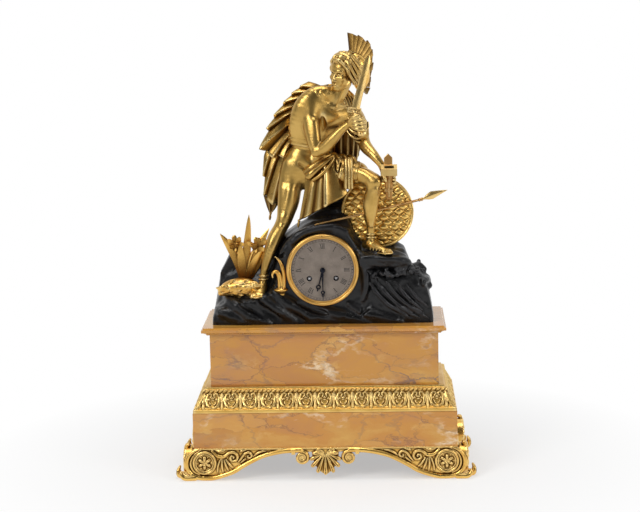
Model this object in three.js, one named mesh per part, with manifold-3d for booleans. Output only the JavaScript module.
// Mantel clock: a seated warrior in gilt bronze on a patinated rock that holds the
// round movement, standing on a stepped marble plinth with bronze mouldings and feet.
// Millimetres, +Z up, the dial faces -Y, the floor is Z = 0.
import * as THREE from 'three';
import { mergeVertices } from 'three/addons/utils/BufferGeometryUtils.js';
import Module from 'manifold-3d';

const wasm = await Module();
wasm.setup();

// Plinth sizes.
const FOOT_HEIGHT = 52;
const UPPER_WIDTH = 355;
const UPPER_DEPTH = 132;
const UPPER_VISIBLE = 81.5;
const STEP_OUT = 27.5;
const LOWER_WIDTH = UPPER_WIDTH + 2 * STEP_OUT;
const LOWER_DEPTH = UPPER_DEPTH + 2 * STEP_OUT;
const LOWER_HEIGHT = 55;
const MOULDING_HEIGHT = 38;
const SLAB_OVERHANG = 12;
const SLAB_HEIGHT = 12;
const FRAME_THICK = 10;
const FRAME_RELIEF = 4;
const SIDE_RELIEF = 17;
const TOE_OUT = 11;
const BOARD_THICK = 8;

// Clearances between neighbouring pieces.
const SEAT_GAP = 0.3;
const RUN_GAP = 0.07;
const BOLT_GAP = 0.5;

// Levels that follow from the plinth sizes.
const LOWER_TOP = FOOT_HEIGHT + LOWER_HEIGHT;
const UPPER_TOP = LOWER_TOP + MOULDING_HEIGHT + UPPER_VISIBLE;
const SLAB_TOP = UPPER_TOP + SLAB_HEIGHT;

// Rock, clock and figure stations are written for a slab top at this height and
// ride up or down with the slab.
const STATION_SLAB = 238.5;
const RIDE = SLAB_TOP - STATION_SLAB;

// The rock's length follows the upper block. Its stations are written for 355 mm.
const ROCK_SPREAD = UPPER_WIDTH / 355;

// Tie bolts that pull the rock down on the plinth.
const BOLT_INSET = 21.5;
const BOLT_X = UPPER_WIDTH / 2 - BOLT_INSET * ROCK_SPREAD;
const BOLT_Y = 10;
const BOLT_RADIUS = 4;
const BOLT_ENGAGE = 15;

// Clock sizes, measured from the dial centre.
const DIAL_Z = 325 + RIDE;
const BEZEL_RADIUS = 56.5;
const BEZEL_FRONT = -62;
const BEZEL_SEAT = -51;
const SIGHT_RADIUS = 49;
const DIAL_RADIUS = SIGHT_RADIUS + 1;
const DIAL_FRONT = -57;
const DIAL_THICK = 1.5;
const SLEEVE_OUTER = DIAL_RADIUS + 2.4;
const SLEEVE_BACK = -44;
const BORE_RADIUS = SLEEVE_OUTER + 0.5;
const PLATE_RADIUS = 46;
const FRONT_PLATE = [-46, -44];
const BACK_PLATE = [-13, -11];
const PILLAR_RADIUS = 2;
const WIND_X = 20.7;
const WIND_Z = -13.3;
const WIND_HOLE = 4;
const WIND_ARBOR = 2.2;
const PIVOT = 1;
const PIVOT_HOLE = (PIVOT + 0.03) / Math.cos(Math.PI / 10);
const MINUTE_LENGTH = 45;
const HOUR_LENGTH = 35;
const MINUTE_TURN = Math.PI;
const HOUR_TURN = Math.PI * 195 / 180;
const PALLET_Z = 37.5;
const PENDULUM_Y = -6.5;
const BOB_DROP = 127.5;
const BOB_RADIUS = 14;
const BELL_X = 12;
const BELL_Z = -10;
const BELL_RADIUS = 30;
const REAR_FACE = 62;
const REAR_OPENING = 47;
const REAR_RING_OUTER = 54;
const DOOR_RADIUS = 49;

// Teeth of the wheel work.
const GREAT_TEETH = 48;
const GREAT_PINION = 8;
const GREAT_MODULE = 0.875;
const SECOND_TEETH = 36;
const SECOND_PINION = 6;
const SECOND_MODULE = 0.8;
const CENTRE_TEETH = 36;
const CENTRE_PINION = 6;
const CENTRE_MODULE = 0.82;
const THIRD_TEETH = 30;
const THIRD_PINION = 6;
const THIRD_MODULE = 0.745;
const FLY_MODULE = 0.56;
const ESCAPE_TEETH = 20;
const ESCAPE_MODULE = 0.84;
const CANNON_TEETH = 9;
const MINUTE_TEETH = 27;
const CANNON_MODULE = 0.88;
const MINUTE_PINION = 8;
const HOUR_TEETH = 32;
const HOUR_MODULE = CANNON_MODULE * (CANNON_TEETH + MINUTE_TEETH) / (MINUTE_PINION + HOUR_TEETH);

// Surface colours.
const GILT = { color: 0xc9a050, roughness: 0.34, metalness: 1.0 };
const GILT_DARK = { color: 0x9c7534, roughness: 0.42, metalness: 1.0 };
const BLACK_BRONZE = { color: 0x232326, roughness: 0.45, metalness: 0.6 };
const MARBLE = { color: 0xc8923f, roughness: 0.25, metalness: 0.0 };
const SILVERED = { color: 0x8a8078, roughness: 0.5, metalness: 0.3 };
const BLUED = { color: 0x15161c, roughness: 0.35, metalness: 0.8 };
const BRASS = { color: 0xb58f45, roughness: 0.35, metalness: 1.0 };
const STEEL = { color: 0x8d8f92, roughness: 0.35, metalness: 1.0 };
const BELL_METAL = { color: 0xa99a6a, roughness: 0.3, metalness: 1.0 };
const WOOD = { color: 0x6b4a2c, roughness: 0.7, metalness: 0.0 };

function toManifold(geometry) {
  const bare = geometry.clone();
  bare.deleteAttribute('normal');
  bare.deleteAttribute('uv');
  const welded = mergeVertices(bare, 1e-4);
  return new wasm.Manifold(new wasm.Mesh({
    numProp: 3,
    vertProperties: new Float32Array(welded.attributes.position.array),
    triVerts: new Uint32Array(welded.index.array),
  }));
}

function toGeometry(manifold) {
  const mesh = manifold.getMesh();
  const geometry = new THREE.BufferGeometry();
  geometry.setAttribute('position', new THREE.BufferAttribute(mesh.vertProperties, 3));
  geometry.setIndex(new THREE.BufferAttribute(mesh.triVerts, 1));
  geometry.computeVertexNormals();
  return geometry;
}

function join(...geometries) {
  let body = toManifold(geometries[0]);
  for (const next of geometries.slice(1)) {
    body = body.add(toManifold(next));
  }
  return toGeometry(body);
}

function cut(geometry, ...tools) {
  let body = toManifold(geometry);
  for (const tool of tools) {
    body = body.subtract(toManifold(tool));
  }
  return toGeometry(body);
}

function box(x0, x1, y0, y1, z0, z1) {
  const geometry = new THREE.BoxGeometry(x1 - x0, y1 - y0, z1 - z0);
  return geometry.translate((x0 + x1) / 2, (y0 + y1) / 2, (z0 + z1) / 2);
}

function rodY(x, z, radius, y0, y1, sides = 16) {
  const geometry = new THREE.CylinderGeometry(radius, radius, y1 - y0, sides);
  return geometry.translate(x, (y0 + y1) / 2, z);
}

function rodZ(x, y, radius, z0, z1, sides = 16) {
  const geometry = new THREE.CylinderGeometry(radius, radius, z1 - z0, sides);
  return geometry.rotateX(Math.PI / 2).translate(x, y, (z0 + z1) / 2);
}

function rodX(y, z, radius, x0, x1, sides = 16) {
  const geometry = new THREE.CylinderGeometry(radius, radius, x1 - x0, sides);
  return geometry.rotateZ(Math.PI / 2).translate((x0 + x1) / 2, y, z);
}

// A flat shape drawn in X and Z and given thickness along Y.
function plate(points, y0, y1) {
  const shape = new THREE.Shape(points.map(([x, z]) => new THREE.Vector2(x, z)));
  const geometry = new THREE.ExtrudeGeometry(shape, { depth: y1 - y0, bevelEnabled: false });
  return geometry.rotateX(Math.PI / 2).translate(0, y1, 0);
}

// A round profile turned about an axis along Y through (x, z).
function turned(profile, x, z, sides = 32) {
  const points = profile.map(([r, y]) => new THREE.Vector2(r, y));
  return new THREE.LatheGeometry(points, sides).translate(x, 0, z);
}

function blob(x, y, z, rx, ry, rz, turn = 0) {
  const geometry = new THREE.SphereGeometry(1, 10, 7);
  return geometry.scale(rx, ry, rz).rotateZ(turn).translate(x, y, z);
}

// A skin through rings of points, closed by a fan at each end.
function skin(rings, startTip, endTip) {
  const sides = rings[0].length;
  const positions = [];
  for (const ring of rings) {
    for (const point of ring) {
      positions.push(point.x, point.y, point.z);
    }
  }
  const start = rings.length * sides;
  positions.push(startTip.x, startTip.y, startTip.z);
  positions.push(endTip.x, endTip.y, endTip.z);
  const index = [];
  for (let r = 0; r + 1 < rings.length; r += 1) {
    for (let s = 0; s < sides; s += 1) {
      const n = (s + 1) % sides;
      const a = r * sides + s;
      const b = r * sides + n;
      const c = (r + 1) * sides + n;
      const d = (r + 1) * sides + s;
      index.push(a, b, c, a, c, d);
    }
  }
  const last = (rings.length - 1) * sides;
  for (let s = 0; s < sides; s += 1) {
    const n = (s + 1) % sides;
    index.push(start, n, s);
    index.push(start + 1, last + s, last + n);
  }
  const geometry = new THREE.BufferGeometry();
  geometry.setAttribute('position', new THREE.Float32BufferAttribute(positions, 3));
  geometry.setIndex(index);
  return geometry;
}

// A limb: stations [x, y, z, half width, half depth] joined by oval sections whose
// width runs along the given direction.
function limb(stations, grow = 0, widthAxis = [1, 0, 0], sides = 10) {
  const centres = stations.map(([x, y, z]) => new THREE.Vector3(x, y, z + RIDE));
  const rings = [];
  const width = new THREE.Vector3(...widthAxis).normalize();
  let firstTangent = null;
  let lastTangent = null;
  stations.forEach((station, i) => {
    const before = centres[Math.max(i - 1, 0)];
    const after = centres[Math.min(i + 1, centres.length - 1)];
    const tangent = after.clone().sub(before).normalize();
    const across = width.clone().addScaledVector(tangent, -width.dot(tangent)).normalize();
    const deep = new THREE.Vector3().crossVectors(tangent, across);
    const ring = [];
    for (let s = 0; s < sides; s += 1) {
      const angle = 2 * Math.PI * s / sides;
      const point = centres[i].clone();
      point.addScaledVector(across, Math.cos(angle) * (station[3] + grow));
      point.addScaledVector(deep, Math.sin(angle) * (station[4] + grow));
      ring.push(point);
    }
    rings.push(ring);
    if (i === 0) {
      firstTangent = tangent;
    }
    lastTangent = tangent;
  });
  const first = stations[0];
  const last = stations[stations.length - 1];
  const startTip = centres[0].clone().addScaledVector(firstTangent, -0.45 * first[4] - grow);
  const endTip = centres[centres.length - 1].clone().addScaledVector(lastTangent, 0.45 * last[4] + grow);
  return skin(rings, startTip, endTip);
}

// A flat ornament outline with a little extra all round, used to seat it in a neighbour.
function grownPlate(points, y0, y1, grow) {
  const shape = new THREE.Shape(points.map(([x, z]) => new THREE.Vector2(x, z + RIDE)));
  const geometry = new THREE.ExtrudeGeometry(shape, {
    depth: y1 - y0, bevelEnabled: grow > 0, bevelThickness: grow, bevelSize: grow, bevelSegments: 1,
  });
  return geometry.rotateX(Math.PI / 2).translate(0, y1, 0);
}

const group = new THREE.Group();
group.name = 'mantel_clock';

function add(name, geometry, look) {
  const bare = geometry.clone();
  bare.deleteAttribute('uv');
  bare.deleteAttribute('normal');
  const welded = mergeVertices(bare, 1e-4);
  welded.computeVertexNormals();
  const mesh = new THREE.Mesh(welded, new THREE.MeshStandardMaterial(look));
  mesh.name = name;
  group.add(mesh);
}

// Feet: four bronze aprons, each with a volute ring at both ends.
const RING_RADIUS = 25;
const RING_Z = RING_RADIUS + 1.5;
const FRONT_HALF = LOWER_WIDTH / 2;
const SIDE_HALF = LOWER_DEPTH / 2;
const RING_INSET = 16.4;
const FRONT_RING_X = FRONT_HALF - RING_INSET;
const CURVE_INSET = 19;
const SIDE_CURVE_INSET = 5;
const stationCurve = [[186, 0], [173, 1], [159, 5], [143, 11], [131, 19], [115, 28], [99, 35], [83, 39.5],
  [67, 42], [50, 42.5]];
const CURVE_SPREAD = (FRONT_HALF - CURVE_INSET) / stationCurve[0][0];
const apronCurve = stationCurve.map(([x, z]) => [x * CURVE_SPREAD, z]);

function apronOutline(halfLength, curveScale, top) {
  const end = halfLength;
  const right = [[end, 0], ...apronCurve.map(([x, z]) => [x * curveScale, z])];
  const left = right.map(([x, z]) => [-x, z]).reverse();
  return [[-end, top], ...left.reverse().map(([x, z]) => [x, z]), ...right.slice().reverse(), [end, top]];
}

function frontApron(side) {
  const faceY = side * SIDE_HALF;
  const inner = faceY - side * FRAME_THICK;
  const outer = faceY + side * FRAME_RELIEF;
  const low = Math.min(inner, faceY);
  const high = Math.max(inner, faceY);
  const reliefLow = Math.min(inner + side * 2, outer);
  const reliefHigh = Math.max(inner + side * 2, outer);
  const outline = apronOutline(FRONT_HALF, 1, FOOT_HEIGHT);
  const pieces = [plate(outline, low, high)];
  for (const s of [-1, 1]) {
    pieces.push(rodY(s * FRONT_RING_X, RING_Z, RING_RADIUS, reliefLow, reliefHigh, 24));
    pieces.push(rodY(s * 36.5, 36, 12, reliefLow, reliefHigh, 18));
    const rail = apronCurve.map(([x, z]) => [s * x, z]);
    const upper = apronCurve.map(([x, z]) => [s * (x + 1), z + 8]).reverse();
    pieces.push(plate([...rail, ...upper], reliefLow, reliefHigh));
  }
  const fan = [[-21, 50], [-20, 34], [-14, 18], [0, 5.6], [14, 18], [20, 34], [21, 50]];
  pieces.push(plate(fan, reliefLow, reliefHigh));
  return join(...pieces);
}

function sideApron(side) {
  const faceX = side * FRONT_HALF;
  const half = SIDE_HALF - FRAME_THICK - SEAT_GAP;
  const curveScale = (half - SIDE_CURVE_INSET) / apronCurve[0][0];
  const outline = apronOutline(half, curveScale, FOOT_HEIGHT);
  const flat = plate(outline, -FRAME_THICK, 0).rotateZ(Math.PI / 2);
  const pieces = [flat.translate(side > 0 ? faceX - FRAME_THICK : faceX, 0, 0)];
  const inner = faceX - side * 4;
  const outer = faceX + side * SIDE_RELIEF;
  for (const s of [-1, 1]) {
    const y = s * (half - RING_RADIUS + 11);
    const toeY = s * (half - 4);
    const x0 = Math.min(inner, outer);
    const x1 = Math.max(inner, outer);
    pieces.push(rodX(y, RING_Z, RING_RADIUS, x0, x1, 24));
    const toeTip = faceX + side * (SIDE_RELIEF + TOE_OUT);
    const toeIn = faceX + side * 4;
    const toe = [[toeIn, 2], [toeTip - side * 5, 0.6], [toeTip, 8], [toeTip - side * 2, 16], [outer - side, 26],
      [toeIn, 26]];
    pieces.push(plate(toe, toeY - 12, toeY + 12));
    const ear = [[faceX + side * 0.4, 40], [faceX + side * 13, 40], [faceX + side * 14, 54],
      [faceX + side * 8, 60], [faceX + side * 0.4, 58]];
    pieces.push(plate(ear, toeY - 11, toeY + 9));
  }
  pieces.push(box(Math.min(inner, faceX + side * 4), Math.max(inner, faceX + side * 4), -half + 20, half - 20, 44, 51));
  const frontRings = [-1, 1].map((s) => rodY(side * FRONT_RING_X, RING_Z, RING_RADIUS + SEAT_GAP,
    Math.min(s * (SIDE_HALF - FRAME_THICK), s * 120), Math.max(s * (SIDE_HALF - FRAME_THICK), s * 120), 24));
  const frontPlates = [-1, 1].map((s) => box(-FRONT_HALF - SEAT_GAP, FRONT_HALF + SEAT_GAP,
    Math.min(s * (half + SEAT_GAP / 3), s * 120), Math.max(s * (half + SEAT_GAP / 3), s * 120), -5, FOOT_HEIGHT + 10));
  const block = box(-FRONT_HALF, FRONT_HALF, -SIDE_HALF, SIDE_HALF, FOOT_HEIGHT, LOWER_TOP);
  return cut(join(...pieces), ...frontRings, ...frontPlates, block);
}

add('foot_frame_front', frontApron(-1), GILT);
add('foot_frame_back', frontApron(1), GILT);
add('foot_frame_left', sideApron(-1), GILT);
add('foot_frame_right', sideApron(1), GILT);

// Wooden board behind the aprons, under the marble.
const BOARD_BOTTOM = FOOT_HEIGHT - BOARD_THICK;
const boltHoles = [-1, 1].map((s) => rodZ(s * BOLT_X, BOLT_Y, BOLT_RADIUS + BOLT_GAP, 0, SLAB_TOP + 20, 16));
const boardX = FRONT_HALF - FRAME_THICK - SEAT_GAP;
const boardY = SIDE_HALF - FRAME_THICK - SEAT_GAP;
add('base_board', cut(box(-boardX, boardX, -boardY, boardY, BOARD_BOTTOM, FOOT_HEIGHT), ...boltHoles), WOOD);

// Marble: lower block, upper block and the moulded top slab.
const lowerBlock = box(-FRONT_HALF, FRONT_HALF, -SIDE_HALF, SIDE_HALF, FOOT_HEIGHT, LOWER_TOP);
add('lower_plinth', cut(lowerBlock, ...boltHoles), MARBLE);

const BOB_Z = DIAL_Z + PALLET_Z - BOB_DROP;
const POCKET_HALF = BOB_RADIUS + 14;
const POCKET_FLOOR = BOB_Z - BOB_RADIUS - 14;
const pocket = box(-POCKET_HALF, POCKET_HALF, PENDULUM_Y - 7, PENDULUM_Y + 7, POCKET_FLOOR, SLAB_TOP + 5);
const upperBlock = box(-UPPER_WIDTH / 2, UPPER_WIDTH / 2, -UPPER_DEPTH / 2, UPPER_DEPTH / 2, LOWER_TOP, UPPER_TOP);
add('upper_plinth', cut(upperBlock, pocket, ...boltHoles), MARBLE);

function rectangleStack(levels) {
  const rings = levels.map(([z, hx, hy]) => [
    new THREE.Vector3(-hx, -hy, z), new THREE.Vector3(hx, -hy, z),
    new THREE.Vector3(hx, hy, z), new THREE.Vector3(-hx, hy, z),
  ]);
  const bottom = new THREE.Vector3(0, 0, levels[0][0]);
  const top = new THREE.Vector3(0, 0, levels[levels.length - 1][0]);
  return skin(rings, bottom, top);
}

const slabX = UPPER_WIDTH / 2 + SLAB_OVERHANG;
const slabY = UPPER_DEPTH / 2 + SLAB_OVERHANG;
const slab = rectangleStack([
  [UPPER_TOP, slabX - 8, slabY - 8],
  [UPPER_TOP + 2, slabX - 7, slabY - 7],
  [UPPER_TOP + 4, slabX - 3, slabY - 3],
  [UPPER_TOP + 5, slabX, slabY],
  [UPPER_TOP + 9, slabX, slabY],
  [UPPER_TOP + 9.5, slabX - 2, slabY - 2],
  [SLAB_TOP, slabX - 3.5, slabY - 3.5],
]);
add('top_slab', cut(slab, pocket, ...boltHoles), MARBLE);

// Bronze moulding: four mitred lengths round the foot of the upper block.
const mouldingProfile = [[SEAT_GAP, 0], [STEP_OUT - 0.5, 0], [STEP_OUT - 0.5, 4], [STEP_OUT - 3, 5.5],
  [STEP_OUT - 6.5, 9], [STEP_OUT - 10, 14], [STEP_OUT - 13, 20], [STEP_OUT - 15.5, 25], [STEP_OUT - 17, 28],
  [STEP_OUT - 16.5, 30.5], [STEP_OUT - 18, 34], [STEP_OUT - 22, MOULDING_HEIGHT - 3],
  [STEP_OUT - 23, MOULDING_HEIGHT], [SEAT_GAP, MOULDING_HEIGHT]];

function mitredLength(halfLength, face) {
  const ends = [-1, 1].map((s) => mouldingProfile.map(([out, z]) => new THREE.Vector3(
    s * (halfLength + out - SEAT_GAP / 2), -face - out, LOWER_TOP + z,
  )));
  const shape = mouldingProfile.map(([out, z]) => new THREE.Vector2(out, z));
  const caps = THREE.ShapeUtils.triangulateShape(shape, []);
  const count = mouldingProfile.length;
  const positions = [];
  for (const ring of ends) {
    for (const p of ring) {
      positions.push(p.x, p.y, p.z);
    }
  }
  const index = [];
  for (let i = 0; i < count; i += 1) {
    const n = (i + 1) % count;
    index.push(i, i + count, n + count, i, n + count, n);
  }
  for (const [a, b, c] of caps) {
    index.push(a, b, c);
    index.push(a + count, c + count, b + count);
  }
  const geometry = new THREE.BufferGeometry();
  geometry.setAttribute('position', new THREE.Float32BufferAttribute(positions, 3));
  geometry.setIndex(index);
  return geometry;
}

function outward(geometry) {
  const body = toManifold(geometry);
  if (body.volume() > 0) {
    return geometry;
  }
  const flipped = geometry.clone();
  const index = flipped.index.array;
  for (let i = 0; i < index.length; i += 3) {
    const keep = index[i + 1];
    index[i + 1] = index[i + 2];
    index[i + 2] = keep;
  }
  return flipped;
}

add('moulding_front', outward(mitredLength(UPPER_WIDTH / 2, UPPER_DEPTH / 2)), GILT);
add('moulding_back', outward(mitredLength(UPPER_WIDTH / 2, UPPER_DEPTH / 2)).rotateZ(Math.PI), GILT);
add('moulding_right', outward(mitredLength(UPPER_DEPTH / 2, UPPER_WIDTH / 2)).rotateZ(Math.PI / 2), GILT);
add('moulding_left', outward(mitredLength(UPPER_DEPTH / 2, UPPER_WIDTH / 2)).rotateZ(-Math.PI / 2), GILT);

// Tie bolts from under the board up into the rock.
for (const [name, s] of [['tie_bolt_left', -1], ['tie_bolt_right', 1]]) {
  const head = rodZ(s * BOLT_X, BOLT_Y, 2 * BOLT_RADIUS, BOARD_BOTTOM - 6, BOARD_BOTTOM, 6);
  const shank = rodZ(s * BOLT_X, BOLT_Y, BOLT_RADIUS, BOARD_BOTTOM - 3, SLAB_TOP + BOLT_ENGAGE, 16);
  add(name, join(head, shank), STEEL);
}

// Figure: trunk and both legs are one casting.
const CHEST_TURN = [0.94, 0.34, 0];
const trunk = [[-17, 1, 460, 22, 17], [-18, 2, 478, 36, 22], [-18, 2, 494, 34, 20], [-14, 1, 511, 30, 18],
  [-10, -2, 530, 37, 21], [-4, -5, 550, 41, 24], [4, -8, 567, 43, 22], [13, -9, 581, 37, 16],
  [23, -10, 589, 17, 13], [29, -12, 598, 10.5, 11]];
const rightLeg = [[-38, 2, 490, 22, 21], [-44, 0, 474, 19, 20], [-48, -4, 452, 17, 18], [-51, -9, 428, 15.5, 17],
  [-55, -13, 413, 14, 15], [-60, -17, 398, 12, 13], [-66, -20, 386, 11, 12.5], [-74, -22, 372, 11.5, 13],
  [-81, -25, 356, 10, 12], [-88, -28, 337, 7, 8], [-92, -30, 321, 5.6, 6.5], [-95, -33, 299, 6, 8]];
const rightFoot = [[-93, -22, 291, 6, 6], [-97, -34, 294, 8, 10], [-101, -46, 288, 10.5, 6], [-104, -54, 285, 9, 3]];
const leftThigh = [[2, 4, 478, 19, 20], [30, -10, 472, 18.5, 18.5], [52, -24, 469, 15.5, 16], [68, -36, 466, 13.5, 14],
  [80, -45, 461, 12, 13]];
const leftShank = [[82, -47, 460, 11.5, 12], [80, -46, 446, 11.5, 12.5], [76, -43, 428, 12.5, 14], [75, -42, 410, 10.5, 12],
  [75, -41, 392, 7, 8], [75, -40, 378, 5.6, 6.5], [74, -39, 366, 6, 7.5]];
const leftFoot = [[66, -33, 359, 6.5, 6.5], [74, -40, 361, 7, 9], [90, -51, 357, 8, 5.5], [106, -60, 353.5, 7.5, 3]];

function figureBody(grow) {
  return join(
    limb(trunk, grow, CHEST_TURN, 14),
    limb(rightLeg, grow),
    limb(rightFoot, grow),
    limb(leftThigh, grow, [0, 1, 0]),
    limb(leftShank, grow),
    limb(leftFoot, grow, [0.5, -0.8, 0]),
  );
}
const bodyShape = figureBody(0);
const bodyRoom = figureBody(SEAT_GAP);
add('figure_body', bodyShape, GILT);

// Head with its hair, turned to the figure's right.
const headStations = [[33, -19, 598, 8, 9], [33, -19, 604, 13, 14], [35, -18, 613, 17, 18], [37, -17, 624, 19, 21],
  [38, -16, 636, 20, 22], [39, -15, 645, 16, 18], [40, -14, 649, 8, 10]];
const HEAD_TURN = [0.77, -0.64, 0];
const headShape = cut(limb(headStations, 0, HEAD_TURN, 14), bodyRoom);
add('figure_head', headShape, GILT);
const headRoom = limb(headStations, SEAT_GAP, HEAD_TURN, 14);

// Helmet: bowl pushed back on the hair, with a fan crest and a falling tail.
const bowl = limb([[58, 6, 606, 10, 8], [58, 4, 618, 16, 14], [55, 0, 632, 18, 17], [52, -4, 645, 15, 15],
  [50, -6, 655, 8, 9]], 0, HEAD_TURN, 14);
const crestOutline = [[-5, 655], [-5, 668], [-9, 687], [3, 685], [17, 680], [27, 674], [35, 666], [38, 655], [39, 640],
  [33, 622], [31, 612], [36, 606], [29, 594], [21, 586], [17, 600], [15, 626], [8, 645]];
const crest = new THREE.ExtrudeGeometry(
  new THREE.Shape(crestOutline.map(([s, z]) => new THREE.Vector2(s, z + RIDE))),
  { depth: 7, bevelEnabled: false },
);
crest.rotateX(Math.PI / 2).translate(0, 3.5, 0).rotateZ(0.61).translate(51, -2, 0);
add('helmet', cut(join(bowl, crest), headRoom, bodyRoom), GILT);

// Sword, upright in the right hand.
const swordBlade = limb([[54.5, -61.8, 571, 5.4, 1.6], [58, -60.5, 586, 5.2, 1.6], [68, -56, 622, 4.4, 1.4],
  [74, -53, 644, 3.9, 1.1], [77, -52, 653, 0.8, 0.5]], 0, [1, 0.2, 0], 6);
const swordGuard = plate([[43, 577 + RIDE], [64, 574 + RIDE], [63.5, 567 + RIDE], [42.5, 570 + RIDE]], -66, -57.5);
const swordGrip = limb([[54, -61.8, 570, 4, 4], [57, -62.4, 558, 4, 4], [60, -63, 545, 4, 4], [61, -63.2, 540, 5, 5],
  [61.5, -63.4, 536, 4, 4]], 0, [1, 0, 0], 10);
const swordShape = join(swordBlade, swordGuard, swordGrip);
const gripRoom = limb([[54, -61.8, 570, 4, 4], [57, -62.4, 558, 4, 4], [60, -63, 545, 4, 4], [61, -63.2, 540, 5, 5],
  [61.5, -63.4, 536, 4, 4]], SEAT_GAP, [1, 0, 0], 10);
add('sword', swordShape, GILT);

// Right arm, bent across the chest to grip the sword.
const rightUpper = [[-12, -16, 576, 12, 12], [-15, -22, 564, 12, 13], [-14, -28, 549, 10.5, 12], [-11, -34, 532, 9.5, 10.5],
  [-7, -40, 515, 8.5, 9], [-3, -43, 507, 8, 8]];
const rightFore = [[-4, -42.5, 508, 8, 8], [6, -46, 513, 9, 9], [18, -50, 526, 8.3, 8.3], [31, -54, 540, 6.5, 6.5],
  [42, -58, 549, 5, 5.5], [47, -59, 553, 5, 6]];
const rightArmShape = join(limb(rightUpper), limb(rightFore, 0, [0, 1, 0]), blob(57, -62.5, 556 + RIDE, 11, 9, 9));
const guardRoom = grownPlate([[43, 577], [64, 574], [63.5, 567], [42.5, 570]], -66, -57.5, SEAT_GAP);
add('right_arm', cut(rightArmShape, bodyRoom, gripRoom, guardRoom), GILT);

// Scabbard, upright in the left hand, with its collar and hanging plate.
const scabbardBody = limb([[104, -53, 436, 4.5, 2.8], [104, -53.5, 455, 5.5, 3.2], [104.5, -54, 480, 6, 3.6]], 0, [1, 0, 0], 8);
const scabbardCollar = box(94, 115, -60, -49.5, 478 + RIDE, 486 + RIDE);
const scabbardPlate = plate([[97, 482 + RIDE], [97, 496 + RIDE], [103, 502 + RIDE], [110, 496 + RIDE],
  [110, 482 + RIDE]], -52.5, -49.5);
add('scabbard', join(scabbardBody, scabbardCollar, scabbardPlate), GILT);
const scabbardRoom = join(
  limb([[104, -53, 436, 4.5, 2.8], [104, -53.5, 455, 5.5, 3.2], [104.5, -54, 480, 6, 3.6]], SEAT_GAP, [1, 0, 0], 8),
  box(94 - SEAT_GAP, 115 + SEAT_GAP, -60 - SEAT_GAP, -49.5 + SEAT_GAP, 478 + RIDE - SEAT_GAP, 486 + RIDE + SEAT_GAP),
  box(97 - SEAT_GAP, 110 + SEAT_GAP, -52.5 - SEAT_GAP, -49.5 + SEAT_GAP, 482 + RIDE, 503 + RIDE),
);

// Left arm, reaching forward over the raised knee to the scabbard.
const leftUpper = [[50, 12, 567, 12, 12], [59, 3, 550, 12, 12], [63, -8, 530, 11, 11], [65, -13, 521, 9, 9]];
const leftFore = [[64.5, -12, 523, 9, 9], [70, -22, 511, 9.5, 9.5], [82, -36, 499, 7.5, 7.5],
  [92, -43.5, 487, 5.5, 6], [97, -46.5, 476, 6, 6.5]];

function leftArm(grow) {
  return join(
    limb(leftUpper, grow),
    limb(leftFore, grow, [0.6, 0.8, 0]),
    blob(103, -54, 471 + RIDE, 10 + grow, 9 + grow, 8 + grow),
  );
}
add('left_arm', cut(leftArm(0), bodyRoom, scabbardRoom), GILT);
const leftArmRoom = leftArm(SEAT_GAP);

// Cloak: hangs down the back from the shoulders and wraps the left upper arm. Cast as two
// fans of knife pleats: one flies out at the figure's right, one hangs behind.
const flyingFan = {
  gather: [[12, 8, 606], [2, 10, 601], [-14, 12, 593], [-26, 12, 583], [-34, 12, 570], [-39, 12, 555], [-42, 12, 541],
    [-44, 12, 528], [-46, 13, 515], [-48, 14, 505], [-50, 15, 497], [-52, 17, 490], [-54, 18, 484]],
  hem: [[-23, 6, 605], [-33, 3, 596], [-46, 1, 583], [-60, -1, 567], [-75, -3, 549], [-83, -5, 529], [-90, -3, 510],
    [-88, -1, 491], [-95, 3, 470], [-95, 6, 448], [-94, 9, 429], [-81, 12, 418], [-68, 14, 426]],
  pleats: 12, depth: [2, 11], front: [2, 2], back: [10, 2.5],
};
const hangingFan = {
  gather: [[-24, 20, 588], [-6, 23, 600], [12, 23, 606], [28, 23, 604], [42, 22, 596], [54, 20, 584]],
  hem: [[-62, 27, 430], [-40, 32, 444], [-16, 34, 455], [10, 34, 457], [34, 32, 464], [52, 28, 482], [64, 24, 516]],
  pleats: 10, depth: [-0.4, -6], front: [3, 3], back: [1.5, 1.5],
};
const PLEAT_SECTION = [[0, 0], [0.72, 0.25], [0.88, 1]];
const sleeve = [[50, 16, 576, 17, 15], [60, 6, 553, 19, 17], [64, -6, 533, 18, 16], [66, -14, 522, 15, 14]];
const pointedStrip = [[-76, 15, 470, 6, 4], [-91, 15, 446, 6, 3], [-89, 16, 420, 5, 2.5], [-84, 16, 397, 1, 1]];

function alongLine(points, share) {
  const at = Math.min(share, 0.999999) * (points.length - 1);
  const i = Math.floor(at);
  return new THREE.Vector3(...points[i]).lerp(new THREE.Vector3(...points[i + 1]), at - i);
}

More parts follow.
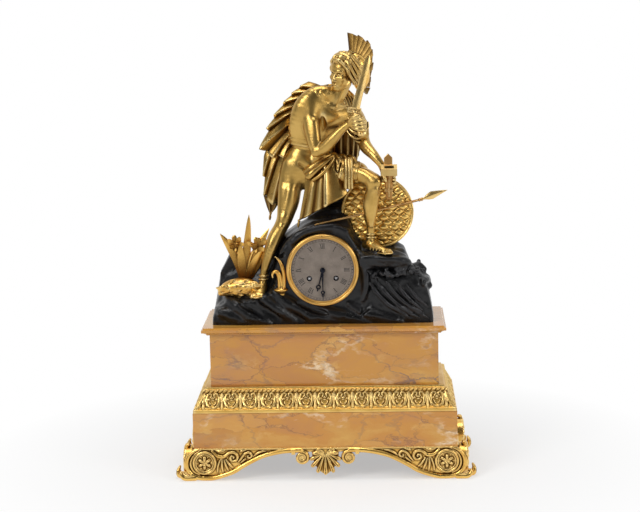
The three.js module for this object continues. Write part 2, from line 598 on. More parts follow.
// A fan of knife pleats between a gathered line and a hem, each pleat a broad face and a
// steep return, as a sheet with thickness along Y.
function pleatFan(fan, grow) {
  const columns = [];
  for (let k = 0; k < fan.pleats; k += 1) {
    PLEAT_SECTION.forEach(([share, deep]) => columns.push([(k + share) / fan.pleats, deep]));
  }
  columns.push([1, 0]);
  const shares = [0, 1];
  const sheet = shares.map((down) => columns.map(([share, deep], c) => {
    const top = alongLine(fan.gather, share);
    const end = alongLine(fan.hem, share);
    const ray = end.clone().sub(top);
    const place = top.clone().addScaledVector(ray, down);
    place.addScaledVector(ray.normalize(), (2 * down - 1) * grow);
    const side = c === 0 ? -1 : c === columns.length - 1 ? 1 : 0;
    const outward = alongLine(fan.hem, Math.min(share + 0.02, 1)).sub(alongLine(fan.hem, Math.max(share - 0.02, 0)));
    place.addScaledVector(outward.normalize(), side * grow);
    place.y += deep * (fan.depth[0] + (fan.depth[1] - fan.depth[0]) * down);
    place.z += RIDE;
    return place;
  }));
  const wide = columns.length;
  const high = shares.length;
  const positions = [];
  for (const [thick, sign] of [[fan.front, -1], [fan.back, 1]]) {
    sheet.forEach((row, r) => row.forEach((place) => {
      const offset = sign * (thick[0] + (thick[1] - thick[0]) * shares[r] + grow);
      positions.push(place.x, place.y + offset, place.z);
    }));
  }
  const near = (c, r) => r * wide + c;
  const far = (c, r) => wide * high + r * wide + c;
  const index = [];
  const quad = (a, b, c, d) => index.push(a, b, c, a, c, d);
  for (let r = 0; r + 1 < high; r += 1) {
    for (let c = 0; c + 1 < wide; c += 1) {
      quad(near(c, r), near(c + 1, r), near(c + 1, r + 1), near(c, r + 1));
      quad(far(c, r), far(c, r + 1), far(c + 1, r + 1), far(c + 1, r));
    }
    quad(near(0, r), near(0, r + 1), far(0, r + 1), far(0, r));
    quad(near(wide - 1, r + 1), near(wide - 1, r), far(wide - 1, r), far(wide - 1, r + 1));
  }
  for (let c = 0; c + 1 < wide; c += 1) {
    quad(near(c + 1, 0), near(c, 0), far(c, 0), far(c + 1, 0));
    quad(near(c, high - 1), near(c + 1, high - 1), far(c + 1, high - 1), far(c, high - 1));
  }
  const geometry = new THREE.BufferGeometry();
  geometry.setAttribute('position', new THREE.Float32BufferAttribute(positions, 3));
  geometry.setIndex(index);
  return outward(geometry);
}

// The main body of a shape, without the crumbs that a cut can leave.
function mainBody(geometry) {
  const bodies = toManifold(geometry).decompose();
  bodies.sort((a, b) => b.volume() - a.volume());
  return toGeometry(bodies[0]);
}

function cloakShape(grow) {
  return join(
    pleatFan(flyingFan, grow),
    pleatFan(hangingFan, grow),
    limb(sleeve, grow),
    limb(pointedStrip, grow, [1, 0, 0], 6),
  );
}
const rightArmRoom = join(limb(rightUpper, SEAT_GAP), limb(rightFore, SEAT_GAP, [0, 1, 0]));
const helmetRoom = limb([[58, 6, 606, 10, 8], [58, 4, 618, 16, 14], [55, 0, 632, 18, 17], [52, -4, 645, 15, 15],
  [50, -6, 655, 8, 9]], SEAT_GAP, HEAD_TURN, 14);
const crestRoom = new THREE.ExtrudeGeometry(
  new THREE.Shape(crestOutline.map(([s, z]) => new THREE.Vector2(s, z + RIDE))),
  { depth: 7, bevelEnabled: true, bevelThickness: SEAT_GAP, bevelSize: SEAT_GAP, bevelSegments: 1 },
);
crestRoom.rotateX(Math.PI / 2).translate(0, 3.5, 0).rotateZ(0.61).translate(51, -2, 0);
const trimmedCloak = cut(cloakShape(0), bodyRoom, leftArmRoom, rightArmRoom, headRoom, helmetRoom, crestRoom);
add('cloak', mainBody(trimmedCloak), GILT);
const cloakRoom = cloakShape(SEAT_GAP);

// Drapery over the left thigh with a hanging flap between the legs.
const lapSleeve = [[4, 2, 482, 25, 24], [22, -7, 475, 29, 25], [40, -16, 472, 29, 25], [54, -25, 470, 22, 22]];
const flapOutline = [[-10, 482], [24, 470], [40, 450], [38, 432], [3, 423], [-39, 401], [-34, 412], [-18, 451]];

function lapDrapery(grow) {
  return join(limb(lapSleeve, grow, [0, 0, 1]), grownPlate(flapOutline, -38, -27, grow));
}
add('lap_drapery', cut(lapDrapery(0), bodyRoom, cloakRoom, leftArmRoom), GILT);
const lapRoom = lapDrapery(SEAT_GAP);

// Shield: a convex round buckler leaning on the rock.
const SHIELD = { x: 86, y: -12, z: 408, radius: 56, lean: 0.12 };

function shieldShape(grow) {
  const r = SHIELD.radius + grow;
  const profile = [[0, 4 + grow], [r, 4 + grow], [r, -grow], [r - 5, -1 - grow], [r - 16, -5 - grow],
    [r * 0.4, -8 - grow], [0, -9.5 - grow]];
  const geometry = turned(profile.slice().reverse(), 0, 0, 32);
  return geometry.rotateX(-SHIELD.lean).translate(SHIELD.x, SHIELD.y, SHIELD.z + RIDE);
}
const shieldRoom = shieldShape(SEAT_GAP);
add('shield', cut(shieldShape(0), bodyRoom, lapRoom, cloakRoom), GILT);

// Spear lying in front of the shield, behind the left shin.
const spearLine = [[-12, -27, 388, 1.8, 1.8], [60, -27, 406, 1.8, 1.8], [150, -27, 426.5, 1.8, 1.8], [152, -27, 427, 3, 3],
  [156, -27, 428, 3, 3], [158, -27, 428.6, 1.8, 1.6], [171, -27, 434, 6.5, 1.8], [183, -27, 437.5, 3.6, 1.4],
  [195, -27, 441, 0.6, 0.4]];
const spearShape = limb(spearLine, 0, [0, 0, 1], 8);
const spearRoom = limb(spearLine, SEAT_GAP, [0, 0, 1], 8);
add('spear', cut(spearShape, bodyRoom, shieldRoom, lapRoom), GILT);

// Ornaments on the left of the rock: leafy mound, iris and a small curled sprout.
const mound = [[-158, -34, 288, 6, 9], [-150, -36, 294, 13, 13], [-136, -37, 299, 16, 15], [-120, -37, 299, 16, 15],
  [-109, -37, 298, 11, 12], [-104, -36, 296, 5, 8]];
const moundShape = limb(mound, 0, [0, 1, 0]);
const moundRoom = limb(mound, SEAT_GAP, [0, 1, 0]);
add('plant_mound', cut(moundShape, bodyRoom), GILT);

const leafBlades = [
  [[-125, -14, 306, 7, 3], [-122, -14, 340, 5, 2], [-117, -15, 380, 3.5, 1.8], [-115, -15, 406, 0.8, 0.8]],
  [[-127, -14, 306, 6, 3], [-136, -15, 335, 5, 2], [-148, -17, 360, 4, 1.8], [-160, -19, 377, 0.8, 0.8]],
  [[-122, -14, 306, 7, 3], [-112, -15, 330, 6, 2], [-98, -16, 360, 5, 2], [-84, -16, 384, 0.8, 0.8]],
  [[-121, -14, 306, 6, 3], [-111, -17, 325, 6, 2], [-100, -19, 343, 5, 2], [-94, -20, 354, 1, 1]],
  [[-126, -14, 306, 4, 3], [-132, -14, 345, 4, 2.5], [-137, -15, 366, 8, 7], [-138, -15, 376, 9, 8], [-136, -15, 388, 1, 1]],
  [[-123, -14, 306, 4, 3], [-114, -15, 345, 4, 2.5], [-107, -16, 362, 10, 7], [-106, -16, 372, 12, 8], [-104, -16, 379, 2, 2]],
];
const irisShape = join(...leafBlades.map((blade) => limb(blade, 0, [1, 0, 0], 8)));
const irisRoom = join(...leafBlades.map((blade) => limb(blade, SEAT_GAP, [1, 0, 0], 8)));
add('iris_plant', cut(irisShape, moundRoom, bodyRoom), GILT);

const sproutParts = [
  [[-66, -53, 286, 7, 4], [-66, -53, 292, 9, 5], [-66, -53, 298, 6, 4]],
  [[-64, -53, 294, 4, 2.5], [-61, -54, 312, 4, 2.2], [-63, -55, 330, 3.4, 2], [-69, -55, 342, 2, 1.5], [-75, -55, 347, 0.6, 0.6]],
  [[-66, -54, 294, 4, 2.5], [-67, -55, 312, 4.5, 2.2], [-71, -56, 323, 4, 2.4], [-77, -57, 323, 3, 2.2], [-80, -57, 317, 1, 1]],
];
const sproutShape = join(...sproutParts.map((stem) => limb(stem, 0, [1, 0, 0.2], 8)));
const sproutRoom = join(...sproutParts.map((stem) => limb(stem, SEAT_GAP, [1, 0, 0.2], 8)));
add('sprout', cut(sproutShape, bodyRoom), GILT);

// Rock: a hollow casting, open below and at the back. Heights are given on a grid of
// columns along X and rows along Y.
const rockColumns = [-174, -165, -150, -130, -112, -92, -78, -62, -40, -15, 15, 40, 60, 85, 110, 127, 138, 150, 160, 168, 171]
  .map((x) => x * ROCK_SPREAD);
const rockRows = [
  [-51, [252, 258, 266, 272, 278, 280, 290, 340, 380, 389, 390, 382, 350, 349, 344, 336, 318, 312, 298, 268, 252]],
  [-40, [256, 264, 274, 280, 281, 281, 300, 352, 384, 392, 396, 386, 351, 350, 350, 344, 326, 320, 304, 272, 254]],
  [-25, [258, 268, 282, 288, 286, 286, 322, 366, 385, 398, 404, 398, 360, 352, 354, 352, 328, 322, 308, 274, 255]],
  [-5, [260, 284, 304, 312, 318, 334, 356, 374, 387, 404, 416, 418, 400, 378, 364, 354, 324, 326, 312, 272, 255]],
  [20, [262, 306, 337, 336, 338, 350, 360, 372, 386, 402, 414, 414, 398, 374, 352, 330, 314, 318, 304, 268, 252]],
  [REAR_FACE, [248, 276, 304, 312, 322, 338, 352, 368, 384, 392, 394, 388, 374, 350, 328, 306, 288, 276, 264, 252, 246]],
];

function heightBlock(columns, rows, floor) {
  const nx = columns.length;
  const ny = rows.length;
  const positions = [];
  rows.forEach(([y, heights]) => columns.forEach((x, i) => positions.push(x, y, heights[i] + RIDE)));
  rows.forEach(([y]) => columns.forEach((x) => positions.push(x, y, floor)));
  const top = (i, j) => j * nx + i;
  const low = (i, j) => nx * ny + j * nx + i;
  const index = [];
  const quad = (a, b, c, d) => index.push(a, b, c, a, c, d);
  for (let j = 0; j + 1 < ny; j += 1) {
    for (let i = 0; i + 1 < nx; i += 1) {
      quad(top(i, j), top(i + 1, j), top(i + 1, j + 1), top(i, j + 1));
      quad(low(i, j), low(i, j + 1), low(i + 1, j + 1), low(i + 1, j));
    }
  }
  for (let i = 0; i + 1 < nx; i += 1) {
    quad(low(i, 0), low(i + 1, 0), top(i + 1, 0), top(i, 0));
    quad(low(i + 1, ny - 1), low(i, ny - 1), top(i, ny - 1), top(i + 1, ny - 1));
  }
  for (let j = 0; j + 1 < ny; j += 1) {
    quad(low(0, j + 1), low(0, j), top(0, j), top(0, j + 1));
    quad(low(nx - 1, j), low(nx - 1, j + 1), top(nx - 1, j + 1), top(nx - 1, j));
  }
  const geometry = new THREE.BufferGeometry();
  geometry.setAttribute('position', new THREE.Float32BufferAttribute(positions, 3));
  geometry.setIndex(index);
  return geometry;
}

const ROCK_WALL = 9;
const hollowColumns = rockColumns.slice(1, -1).map((x) => x * (1 - ROCK_WALL / 174));
const hollowRows = rockRows.map(([y, heights], j) => {
  const near = [rockRows[Math.max(j - 1, 0)][1], heights, rockRows[Math.min(j + 1, rockRows.length - 1)][1]];
  const inner = heights.slice(1, -1).map((h, k) => {
    const around = near.flatMap((row) => [row[k], row[k + 1], row[k + 2]]);
    return Math.min(...around) - ROCK_WALL;
  });
  const depth = y < 0 ? Math.max(y, -51 + ROCK_WALL + 2) : Math.min(y, REAR_FACE - ROCK_WALL);
  return [depth + j * 0.01, inner];
});
const rockBlock = heightBlock(rockColumns, rockRows, SLAB_TOP);
const rockHollow = heightBlock(hollowColumns, hollowRows.filter((row, j) => j !== 1), SLAB_TOP - 5);
const ledge = plate([[56, 330], [62, 351], [85, 352], [112, 351], [128, 347], [134, 339], [131, 327], [110, 320], [80, 322]]
  .map(([x, z]) => [x, z + RIDE]), -65, -38);
const seat = limb([[12, 10, 395, 34, 16], [12, 10, 425, 30, 14], [13, 9, 452, 26, 11]], 0, [1, 0, 0], 12);
const lugs = [-1, 1].map((s) => rodZ(s * BOLT_X, BOLT_Y, 10, SLAB_TOP, SLAB_TOP + BOLT_ENGAGE + 4, 16));
const lugBores = [-1, 1].map((s) => rodZ(s * BOLT_X, BOLT_Y, BOLT_RADIUS + RUN_GAP, SLAB_TOP - 1, SLAB_TOP + BOLT_ENGAGE + 1, 16));
const frontBore = rodY(0, DIAL_Z, BORE_RADIUS, -70, 0, 32);
const bezelFlat = rodY(0, DIAL_Z, BEZEL_RADIUS + 1.5, -80, BEZEL_SEAT, 32);
const rearBore = rodY(0, DIAL_Z, REAR_OPENING + 4, 0, REAR_FACE + 5, 32);
const rockShape = cut(
  join(cut(join(rockBlock, ledge, seat), rockHollow), ...lugs),
  frontBore, rearBore, bezelFlat, ...lugBores, bodyRoom, lapRoom, cloakRoom, shieldRoom, spearRoom, moundRoom,
  irisRoom, sproutRoom,
);
add('rock', rockShape, BLACK_BRONZE);

// Bezel, dial and hands.
const bezelProfile = [[SLEEVE_OUTER, BEZEL_SEAT], [BEZEL_RADIUS, BEZEL_SEAT], [BEZEL_RADIUS, -56], [BEZEL_RADIUS - 1.5, -60],
  [BEZEL_RADIUS - 3.5, BEZEL_FRONT], [SIGHT_RADIUS + 1.5, BEZEL_FRONT + 0.5], [SIGHT_RADIUS, -58.5],
  [SIGHT_RADIUS, DIAL_FRONT - 0.2], [DIAL_RADIUS + 0.4, DIAL_FRONT - 0.2], [DIAL_RADIUS + 0.4, SLEEVE_BACK],
  [SLEEVE_OUTER, SLEEVE_BACK], [SLEEVE_OUTER, BEZEL_SEAT]];
add('bezel', outward(turned(bezelProfile, 0, DIAL_Z, 32)), GILT);

const DIAL_BACK = DIAL_FRONT + DIAL_THICK;
const dialFeet = [45, 135, 225, 315].map((a) => {
  const angle = a * Math.PI / 180;
  return rodY(40 * Math.cos(angle), DIAL_Z + 40 * Math.sin(angle), 1.2, DIAL_BACK - 0.5, FRONT_PLATE[0], 6);
});
const HOUR_PIPE = 3.2;
const dialShape = cut(
  join(rodY(0, DIAL_Z, DIAL_RADIUS, DIAL_FRONT, DIAL_BACK, 32), ...dialFeet),
  rodY(0, DIAL_Z, HOUR_PIPE + 0.4, -70, -50, 12),
  rodY(WIND_X, DIAL_Z + WIND_Z, WIND_HOLE, -70, -50, 12),
  rodY(-WIND_X, DIAL_Z + WIND_Z, WIND_HOLE, -70, -50, 12),
);
add('dial', dialShape, SILVERED);

// A hand drawn pointing to twelve, then turned clockwise to its place.
function hand(length, ring, ringRadius, half, bossRadius, bore, y0, y1, turn) {
  const shaft = plate([[-half, -2], [half, -2], [half * 0.7, length * 0.9], [0, length], [-half * 0.7, length * 0.9]], y0, y1);
  const body = join(shaft, rodY(0, 0, bossRadius, y0, y1, 16), rodY(0, ring, ringRadius, y0, y1, 12));
  const shape = cut(body, rodY(0, 0, bore, y0 - 1, y1 + 1, 16), rodY(0, ring, ringRadius * 0.62, y0 - 1, y1 + 1, 8));
  return shape.rotateY(turn).translate(0, 0, DIAL_Z);
}
const ARBOR = 2.3;
const HOUR_Y = [-59.2, -58.2];
const MINUTE_Y = [-61.2, -60.2];
add('hour_hand', hand(HOUR_LENGTH, 28, 4, 1.1, 5, HOUR_PIPE + RUN_GAP, HOUR_Y[0], HOUR_Y[1], HOUR_TURN), BLUED);
add('minute_hand', hand(MINUTE_LENGTH, 35, 3.6, 0.9, 4.2, ARBOR, MINUTE_Y[0], MINUTE_Y[1], MINUTE_TURN), BLUED);

// Wheel centres, measured from the dial centre.
function meet(ax, az, ra, bx, bz, rb, side) {
  const dx = bx - ax;
  const dz = bz - az;
  const d = Math.hypot(dx, dz);
  const along = (ra * ra - rb * rb + d * d) / (2 * d);
  const off = Math.sqrt(Math.max(ra * ra - along * along, 0)) * side;
  return [ax + (along * dx - off * dz) / d, az + (along * dz + off * dx) / d];
}
const GREAT_DISTANCE = GREAT_MODULE * (GREAT_TEETH + GREAT_PINION) / 2;
const SECOND_DISTANCE = SECOND_MODULE * (SECOND_TEETH + SECOND_PINION) / 2;
const CENTRE_DISTANCE = CENTRE_MODULE * (CENTRE_TEETH + CENTRE_PINION) / 2;
const THIRD_DISTANCE = THIRD_MODULE * (THIRD_TEETH + THIRD_PINION) / 2;
const FLY_DISTANCE = FLY_MODULE * (THIRD_TEETH + THIRD_PINION) / 2;
const MOTION_DISTANCE = CANNON_MODULE * (CANNON_TEETH + MINUTE_TEETH) / 2;
const centreAt = [0, 0];
const goingAt = [WIND_X, WIND_Z];
const strikeAt = [-WIND_X, WIND_Z];
const secondAt = meet(0, 0, SECOND_DISTANCE, WIND_X, WIND_Z, GREAT_DISTANCE, 1);
const THIRD_ANGLE = 125 * Math.PI / 180;
const thirdAt = [CENTRE_DISTANCE * Math.cos(THIRD_ANGLE), CENTRE_DISTANCE * Math.sin(THIRD_ANGLE)];
const escapeAt = [0, thirdAt[1] + Math.sqrt(THIRD_DISTANCE ** 2 - thirdAt[0] ** 2)];
const COUNT_ANGLE = 107.3 * Math.PI / 180;
const countAt = [strikeAt[0] + GREAT_DISTANCE * Math.cos(COUNT_ANGLE), strikeAt[1] + GREAT_DISTANCE * Math.sin(COUNT_ANGLE)];
const PIN_ANGLE = 73 * Math.PI / 180;
const pinAt = [countAt[0] + THIRD_DISTANCE * Math.cos(PIN_ANGLE), countAt[1] + THIRD_DISTANCE * Math.sin(PIN_ANGLE)];
const FLY_ANGLE = 47 * Math.PI / 180;
const flyAt = [pinAt[0] + FLY_DISTANCE * Math.cos(FLY_ANGLE), pinAt[1] + FLY_DISTANCE * Math.sin(FLY_ANGLE)];
const minuteAt = [-MOTION_DISTANCE * Math.SQRT1_2, MOTION_DISTANCE * Math.SQRT1_2];

// A toothed wheel in the dial plane. A wheel points a tooth at its mate and a pinion
// points a gap at it, so the pair is in mesh at rest.
function toothed(at, teeth, module, mate, gap, y0, y1) {
  const pitch = teeth * module / 2;
  const tip = pitch + 0.42 * module;
  const root = pitch - 0.95 * module;
  const aim = Math.atan2(mate[1] - at[1], mate[0] - at[0]) + (gap ? Math.PI / teeth : 0);
  const points = [];
  for (let i = 0; i < teeth; i += 1) {
    const angle = aim + 2 * Math.PI * i / teeth;
    const between = angle + Math.PI / teeth;
    points.push([at[0] + tip * Math.cos(angle), DIAL_Z + at[1] + tip * Math.sin(angle)]);
    points.push([at[0] + root * Math.cos(between), DIAL_Z + at[1] + root * Math.sin(between)]);
  }
  return plate(points, y0, y1);
}

function shaft(at, radius, y0, y1, sides = 10) {
  return rodY(at[0], DIAL_Z + at[1], radius, y0, y1, sides);
}

// An arbor between the plates with a pivot in each.
function arbor(at, radius) {
  return join(
    shaft(at, radius, FRONT_PLATE[1] + 0.3, BACK_PLATE[0] - 0.3),
    shaft(at, PIVOT, FRONT_PLATE[0] + 0.2, BACK_PLATE[1] - 0.2),
  );
}

const centreArbor = join(
  shaft(centreAt, 1.6, FRONT_PLATE[1] + 0.3, BACK_PLATE[0] - 0.3),
  shaft(centreAt, PIVOT, BACK_PLATE[0] - 1, BACK_PLATE[1] - 0.2),
  shaft(centreAt, ARBOR - RUN_GAP, MINUTE_Y[0] - 0.8, FRONT_PLATE[1] + 1, 16),
  toothed(centreAt, CENTRE_TEETH, CENTRE_MODULE, thirdAt, false, -42, -40.8),
  toothed(centreAt, SECOND_PINION, SECOND_MODULE, secondAt, true, -19, -15.5),
  toothed(centreAt, CANNON_TEETH, CANNON_MODULE, minuteAt, true, -49.4, -47.2),
);
add('centre_arbor', centreArbor, BRASS);

const minuteWheel = cut(
  join(
    toothed(minuteAt, MINUTE_TEETH, CANNON_MODULE, centreAt, false, -49, -47.6),
    toothed(minuteAt, MINUTE_PINION, HOUR_MODULE, centreAt, true, -52.4, -48.5),
  ),
  shaft(minuteAt, 1.3, -60, -40),
);
add('minute_wheel', minuteWheel, BRASS);

const hourWheel = cut(
  join(
    toothed(centreAt, HOUR_TEETH, HOUR_MODULE, minuteAt, false, -51.6, -50.4),
    shaft(centreAt, HOUR_PIPE, HOUR_Y[0], -50.4, 16),
  ),
  shaft(centreAt, ARBOR + 0.1, -70, -40, 16),
);
add('hour_wheel', hourWheel, BRASS);

// Going train.
const goingBarrel = cut(
  join(
    shaft(goingAt, 17, -38, -21, 20),
    toothed(goingAt, GREAT_TEETH, GREAT_MODULE, secondAt, false, -22.5, -20.5),
  ),
  shaft(goingAt, WIND_ARBOR + RUN_GAP + 0.05, -50, -10, 16),
);
add('going_barrel', goingBarrel, BRASS);

const secondWheel = join(
  arbor(secondAt, 1.4),
  toothed(secondAt, GREAT_PINION, GREAT_MODULE, goingAt, true, -23.5, -19.5),
  toothed(secondAt, SECOND_TEETH, SECOND_MODULE, centreAt, false, -18, -16.6),
);
add('going_second_wheel', secondWheel, BRASS);

const thirdWheel = join(
  arbor(thirdAt, 1.3),
  toothed(thirdAt, CENTRE_PINION, CENTRE_MODULE, centreAt, true, -43.2, -39.6),
  toothed(thirdAt, THIRD_TEETH, THIRD_MODULE, escapeAt, false, -31, -29.6),
);
add('third_wheel', thirdWheel, BRASS);

const escapeWheel = join(
  arbor(escapeAt, 1.2),
  toothed(escapeAt, THIRD_PINION, THIRD_MODULE, thirdAt, true, -33, -28),
  toothed(escapeAt, ESCAPE_TEETH, ESCAPE_MODULE, [0, 60], false, -22, -20.8),
);
add('escape_wheel', escapeWheel, BRASS);

// Anchor with its arbor and the crutch behind the back plate.
const palletAt = [0, PALLET_Z];
const anchorLeft = plate([[0, 40.5], [-4, 39], [-10.8, 30.5], [-9.2, 28.4], [-6.6, 32.4], [-2, 35], [0, 35.4]]
  .map(([x, z]) => [x, z + DIAL_Z - 37.5 + PALLET_Z]), -22, -20.4);
const anchorRight = plate([[0, 40.5], [0, 35.4], [2, 35], [6.6, 32.4], [9.2, 28.4], [10.8, 30.5], [4, 39]]
  .map(([x, z]) => [x, z + DIAL_Z - 37.5 + PALLET_Z]), -22, -20.4);
const crutchLow = DIAL_Z + 8;
const PENDULUM_ROD = 1.2;
const anchorShape = join(
  arbor(palletAt, 1.3),
  shaft(palletAt, PIVOT, BACK_PLATE[0] - 1, -8.8),
  anchorLeft,
  anchorRight,
  shaft(palletAt, 2, -10.6, -9.2),
  box(-1.2, 1.2, -10.6, -9.4, crutchLow, DIAL_Z + PALLET_Z),
  box(-3.4, 3.4, -10.6, -9.4, crutchLow - 3, crutchLow + 1),
  box(-3.4, -PENDULUM_ROD - RUN_GAP, -10.6, -5, crutchLow - 3, crutchLow),
  box(PENDULUM_ROD + RUN_GAP, 3.4, -10.6, -5, crutchLow - 3, crutchLow),
);
add('anchor', anchorShape, STEEL);

// Pendulum on its suspension strip.
const bobProfile = [[0, PENDULUM_Y - 3.2], [BOB_RADIUS - 5, PENDULUM_Y - 2.6], [BOB_RADIUS, PENDULUM_Y],
  [BOB_RADIUS - 5, PENDULUM_Y + 2.6], [0, PENDULUM_Y + 3.2]];
const pendulumShape = join(
  box(-2.4, 2.4, PENDULUM_Y - 0.4, PENDULUM_Y + 0.4, DIAL_Z + PALLET_Z - 9, DIAL_Z + PALLET_Z + 2.2),
  box(-3.2, 3.2, PENDULUM_Y - 1.3, PENDULUM_Y + 1.3, DIAL_Z + PALLET_Z - 12, DIAL_Z + PALLET_Z - 8),
  rodZ(0, PENDULUM_Y, PENDULUM_ROD, BOB_Z - BOB_RADIUS - 5, DIAL_Z + PALLET_Z - 10, 12),
  outward(turned(bobProfile, 0, BOB_Z, 20)),
  rodZ(0, PENDULUM_Y, 2.6, BOB_Z - BOB_RADIUS - 4, BOB_Z - BOB_RADIUS - 1, 8),
);
add('pendulum', pendulumShape, BRASS);

const cockShape = join(
  box(-7, 7, BACK_PLATE[1], -8.4, DIAL_Z + PALLET_Z + 2.6, DIAL_Z + PALLET_Z + 7.6),
  box(-4, 4, -9, -4, DIAL_Z + PALLET_Z + 2.6, DIAL_Z + PALLET_Z + 7),
);
add('suspension_cock', cockShape, BRASS);

// Striking train.
const strikeBarrel = cut(
  join(
    shaft(strikeAt, 17, -37, -21, 20),
    toothed(strikeAt, GREAT_TEETH, GREAT_MODULE, countAt, false, -38, -36),
  ),
  shaft(strikeAt, WIND_ARBOR + RUN_GAP + 0.05, -50, -10, 16),
);
add('strike_barrel', strikeBarrel, BRASS);

const countNotches = [];
for (const [i, blow] of [1, 2, 3, 4, 5, 6, 7, 8, 9, 10, 11, 12].entries()) {
  const angle = 2 * Math.PI * (blow * (blow + 1) / 2 + i) / 90;
  const x = countAt[0] + 11 * Math.cos(angle);
  const z = DIAL_Z + countAt[1] + 11 * Math.sin(angle);
  countNotches.push(rodY(x, z, 0.7, -12, -5, 4));
}
const countDisc = cut(shaft(countAt, 11, -9.8, -8.8, 30), ...countNotches);
const strikeSecond = join(
  arbor(countAt, 1.4),
  shaft(countAt, PIVOT, BACK_PLATE[0] - 1, -8.8),
  toothed(countAt, GREAT_PINION, GREAT_MODULE, strikeAt, true, -39, -35),
  toothed(countAt, THIRD_TEETH, THIRD_MODULE, pinAt, false, -18.5, -17.1),
  countDisc,
);
add('strike_second_wheel', strikeSecond, BRASS);

const liftPins = [];
for (let i = 0; i < 6; i += 1) {
  const angle = 2 * Math.PI * i / 6;
  liftPins.push(shaft([pinAt[0] + 6.4 * Math.cos(angle), pinAt[1] + 6.4 * Math.sin(angle)], 0.5, -33, -31.6, 4));
}
const pinWheel = join(
  arbor(pinAt, 1.2),
  toothed(pinAt, THIRD_PINION, THIRD_MODULE, countAt, true, -20.5, -15.6),
  toothed(pinAt, THIRD_TEETH, FLY_MODULE, flyAt, false, -33.9, -32.6),
  ...liftPins,
);
add('pin_wheel', pinWheel, BRASS);

const flyShape = join(
  arbor(flyAt, 1),
  toothed(flyAt, THIRD_PINION, FLY_MODULE, pinAt, true, -35.5, -31),
  box(flyAt[0] - 5.2, flyAt[0] + 5.2, -28, -17, DIAL_Z + flyAt[1] - 0.4, DIAL_Z + flyAt[1] + 0.4),
);
add('fly', flyShape, BRASS);

// Winding arbors with a squared end behind each hole in the dial.
for (const [name, at] of [['going_arbor', goingAt], ['strike_arbor', strikeAt]]) {
  const square = box(at[0] - 1.5, at[0] + 1.5, DIAL_FRONT + 0.2, -50, DIAL_Z + at[1] - 1.5, DIAL_Z + at[1] + 1.5);
  const body = join(
    shaft(at, WIND_ARBOR, -51, BACK_PLATE[1] - 0.2, 16),
    square,
    toothed(at, 16, 0.75, [0, 60], false, -48, -46.6),
  );
  add(name, body, STEEL);
}

// Plates. The pillars are riveted into the back plate.
const pillarsAt = [[37, 22], [-37, 22], [16, -40], [-16, -40]];
const smallPivots = [secondAt, thirdAt, escapeAt, countAt, pinAt, flyAt, palletAt];
const pivotHole = (at, radius) => shaft(at, radius, -50, 0);
const frontPlate = cut(
  join(rodY(0, DIAL_Z, PLATE_RADIUS, FRONT_PLATE[0], FRONT_PLATE[1], 28), shaft(minuteAt, 1.2, -53, FRONT_PLATE[0] + 0.5)),
  ...smallPivots.map((at) => shaft(at, PIVOT_HOLE, FRONT_PLATE[0] - 0.5, 0)),
  shaft(centreAt, ARBOR + 0.1, -47, 0, 16),
  shaft(goingAt, WIND_ARBOR + RUN_GAP + 0.05, -50, 0, 16),
  shaft(strikeAt, WIND_ARBOR + RUN_GAP + 0.05, -50, 0, 16),
);
add('front_plate', frontPlate, BRASS);

const HAMMER_AT = [-32, -34];
const backPlate = cut(
  join(
    rodY(0, DIAL_Z, PLATE_RADIUS, BACK_PLATE[0], BACK_PLATE[1], 28),
    ...pillarsAt.map(([x, z]) => rodY(x, DIAL_Z + z, PILLAR_RADIUS, FRONT_PLATE[1], BACK_PLATE[0] + 0.5, 8)),
    shaft(HAMMER_AT, 1.5, BACK_PLATE[1] - 0.5, -3),
  ),
  ...smallPivots.map((at) => pivotHole(at, PIVOT_HOLE)),
  pivotHole(centreAt, PIVOT_HOLE),
  shaft(goingAt, WIND_ARBOR + RUN_GAP + 0.05, -20, 0, 16),
  shaft(strikeAt, WIND_ARBOR + RUN_GAP + 0.05, -20, 0, 16),
);
add('back_plate', backPlate, BRASS);

// Bell on a post screwed to the back plate, with its hammer beside it.
const bellPost = join(
  rodY(BELL_X, DIAL_Z + BELL_Z, 4, BACK_PLATE[1], -8, 12),
  rodY(BELL_X, DIAL_Z + BELL_Z, 2, -9, 32, 12),
  rodY(BELL_X, DIAL_Z + BELL_Z, 3.6, 18, 22.3, 12),
);
add('bell_stand', bellPost, STEEL);

const bellOuter = [[BELL_RADIUS, 4], [BELL_RADIUS - 1, 12], [BELL_RADIUS - 6, 19.5], [BELL_RADIUS - 15, 23.5], [2.1, 24.5]];
const bellInner = [[2.1, 22.5], [BELL_RADIUS - 15.6, 21.6], [BELL_RADIUS - 7.4, 18], [BELL_RADIUS - 2.8, 11.6], [BELL_RADIUS - 2, 4]];
const bellProfile = [...bellOuter, ...bellInner, bellOuter[0]];
add('bell', outward(turned(bellProfile, BELL_X, DIAL_Z + BELL_Z, 24)), BELL_METAL);

const hammerHead = [-26, -9];
const hammerShape = cut(
  join(
    shaft(HAMMER_AT, 3.2, -8, -4),
    plate([[-33.4, -34], [-30.6, -34], [-24.9, -8], [-27.4, -8]].map(([x, z]) => [x, z + DIAL_Z]), -7.4, -4.6),
    rodY(hammerHead[0], DIAL_Z + hammerHead[1], 3.6, -7.6, 13, 12),
  ),
  shaft(HAMMER_AT, 1.62, -12, 0),
);
add('hammer', hammerShape, STEEL);

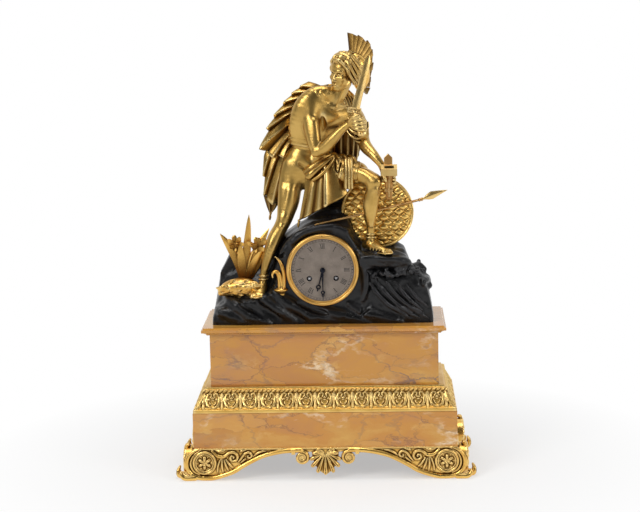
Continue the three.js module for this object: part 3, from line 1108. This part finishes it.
// Rear ring, hinged round door and the two straps that pull the bezel to the ring.
const RING_BACK = REAR_FACE + 4;
const rearRingProfile = [[REAR_OPENING, REAR_FACE], [REAR_RING_OUTER, REAR_FACE], [REAR_RING_OUTER, RING_BACK],
  [REAR_OPENING, RING_BACK], [REAR_OPENING, REAR_FACE]];
const hingeX = -(REAR_RING_OUTER + 2);
const hingeLugs = [-1, 1].map((s) => box(hingeX - 2.6, -REAR_RING_OUTER + 3, REAR_FACE + 0.2, RING_BACK + 4.6,
  DIAL_Z + s * 9 - 3, DIAL_Z + s * 9 + 3));
const hingeY = RING_BACK + 2;
const PIN_RADIUS = 1.2;
const rearRing = cut(
  join(outward(turned(rearRingProfile, 0, DIAL_Z, 32)), ...hingeLugs),
  rodZ(hingeX, hingeY, PIN_RADIUS + 0.02, DIAL_Z - 20, DIAL_Z + 20, 12),
);
add('rear_ring', rearRing, BRASS);
add('hinge_pin', rodZ(hingeX, hingeY, PIN_RADIUS, DIAL_Z - 12.5, DIAL_Z + 12.5, 12), STEEL);

const DOOR_FACE = RING_BACK + 0.3;
const doorShape = cut(
  join(
    rodY(0, DIAL_Z, DOOR_RADIUS, DOOR_FACE, DOOR_FACE + 2, 32),
    box(hingeX, -DOOR_RADIUS + 4, DOOR_FACE, DOOR_FACE + 2, DIAL_Z - 5.6, DIAL_Z + 5.6),
    rodZ(hingeX, hingeY, 2.4, DIAL_Z - 5.6, DIAL_Z + 5.6, 12),
    rodY(DOOR_RADIUS - 7, DIAL_Z, 3, DOOR_FACE + 1, DOOR_FACE + 6, 12),
  ),
  rodZ(hingeX, hingeY, PIN_RADIUS + RUN_GAP + 0.03, DIAL_Z - 20, DIAL_Z + 20, 12),
);
add('rear_door', doorShape, BRASS);

for (const [name, s] of [['strap_upper', 1], ['strap_lower', -1]]) {
  const angle = Math.PI / 2 - 0.5;
  const bar = box(-4, 4, SLEEVE_BACK, REAR_FACE, 48.5, 50.3);
  bar.rotateY(s > 0 ? Math.PI / 2 - angle : 1.5 * Math.PI - angle).translate(0, 0, DIAL_Z);
  add(name, bar, BRASS);
}

export default group;
